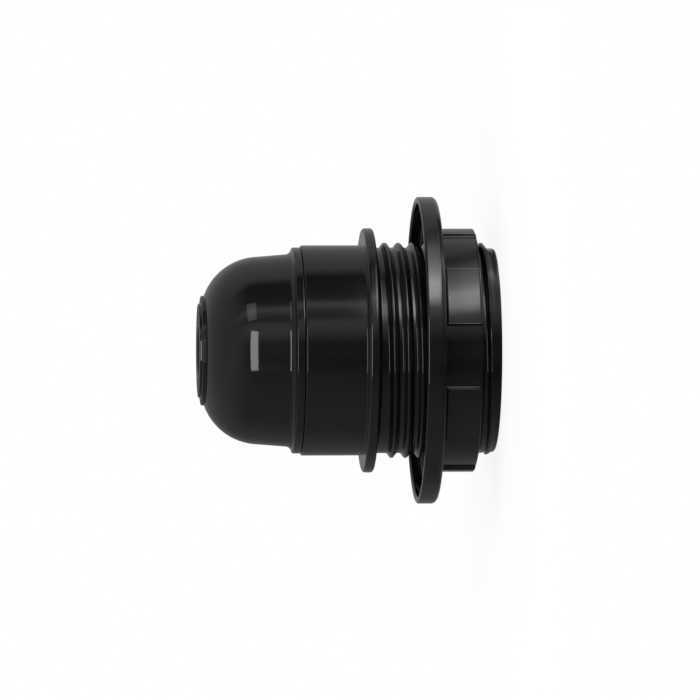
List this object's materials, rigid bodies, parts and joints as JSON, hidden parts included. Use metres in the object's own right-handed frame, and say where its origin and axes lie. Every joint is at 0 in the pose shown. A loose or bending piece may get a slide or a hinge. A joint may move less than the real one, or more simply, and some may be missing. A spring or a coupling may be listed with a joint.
{
  "type": "lamp holder",
  "caption": "Black plastic screw lamp holder standing on its mouth, with a threaded cable entry in its dome, a flanged threaded skirt and a screwed shade ring with a grip collar.",
  "frame": {"origin": "centre of the mouth plane, on which the holder stands", "axes": "+Z along the axis toward the cable entry, +X toward the live terminal, +Y toward the cap's lock screw"},
  "size_m": [0.0554, 0.0554, 0.0535],
  "materials": {
    "shell_black": "gloss black thermoplastic, smooth moulded",
    "insert_black": "matt black thermoplastic",
    "brass": "plain stamped brass",
    "contact_bronze": "spring bronze strip",
    "screw_steel": "bright zinc plated steel"
  },
  "bodies": {
    "skirt": {"skirt": "shell_black"},
    "insert": {"terminal_body": "insert_black", "live_terminal": "brass", "neutral_terminal": "brass", "live_rivet": "brass", "neutral_rivet": "brass", "centre_contact": "contact_bronze", "side_contact": "contact_bronze"},
    "cap": {"cap": "shell_black"},
    "lock_screw": {"cap_lock_screw": "screw_steel"},
    "live_plate": {"live_clamp_plate": "screw_steel"},
    "live_screw": {"live_screw": "screw_steel"},
    "neutral_plate": {"neutral_clamp_plate": "screw_steel"},
    "neutral_screw": {"neutral_screw": "screw_steel"},
    "ring": {"shade_ring": "shell_black"}
  },
  "joints": [
    {"name": "cap_turn", "type": "hinge", "parent": "skirt", "child": "insert", "pos_m": [0, 0, 0.0235], "axis": [0, 0, 1], "range_deg": [0, 720]},
    {"name": "cap_lift", "type": "slide", "parent": "insert", "child": "cap", "axis": [0, 0, 1], "range_m": [0, 0.006]},
    {"name": "lock_screw_travel", "type": "slide", "parent": "cap", "child": "lock_screw", "axis": [0, -1, 0], "range_m": [-0.003, 0.0015]},
    {"name": "live_plate_lift", "type": "slide", "parent": "insert", "child": "live_plate", "axis": [0, 0, 1], "range_m": [0, 0.0025]},
    {"name": "live_screw_turn", "type": "hinge", "parent": "live_plate", "child": "live_screw", "pos_m": [0.0092, 0, 0.0335], "axis": [0, 0, 1], "range_deg": [0, 1800.05]},
    {"name": "neutral_plate_lift", "type": "slide", "parent": "insert", "child": "neutral_plate", "axis": [0, 0, 1], "range_m": [0, 0.0025]},
    {"name": "neutral_screw_turn", "type": "hinge", "parent": "neutral_plate", "child": "neutral_screw", "pos_m": [-0.0092, 0, 0.0335], "axis": [0, 0, 1], "range_deg": [0, 1800.05]},
    {"name": "ring_travel", "type": "slide", "parent": "skirt", "child": "ring", "axis": [0, 0, 1], "range_m": [-0.0075, 0.01]}
  ],
  "couplings": [
    {"joint": "cap_lift", "follows": "cap_turn", "m_per_rad": 0.00047746},
    {"joint": "live_screw_turn", "follows": "live_plate_lift", "rad_per_m": 12566},
    {"joint": "neutral_screw_turn", "follows": "neutral_plate_lift", "rad_per_m": 12566}
  ]
}
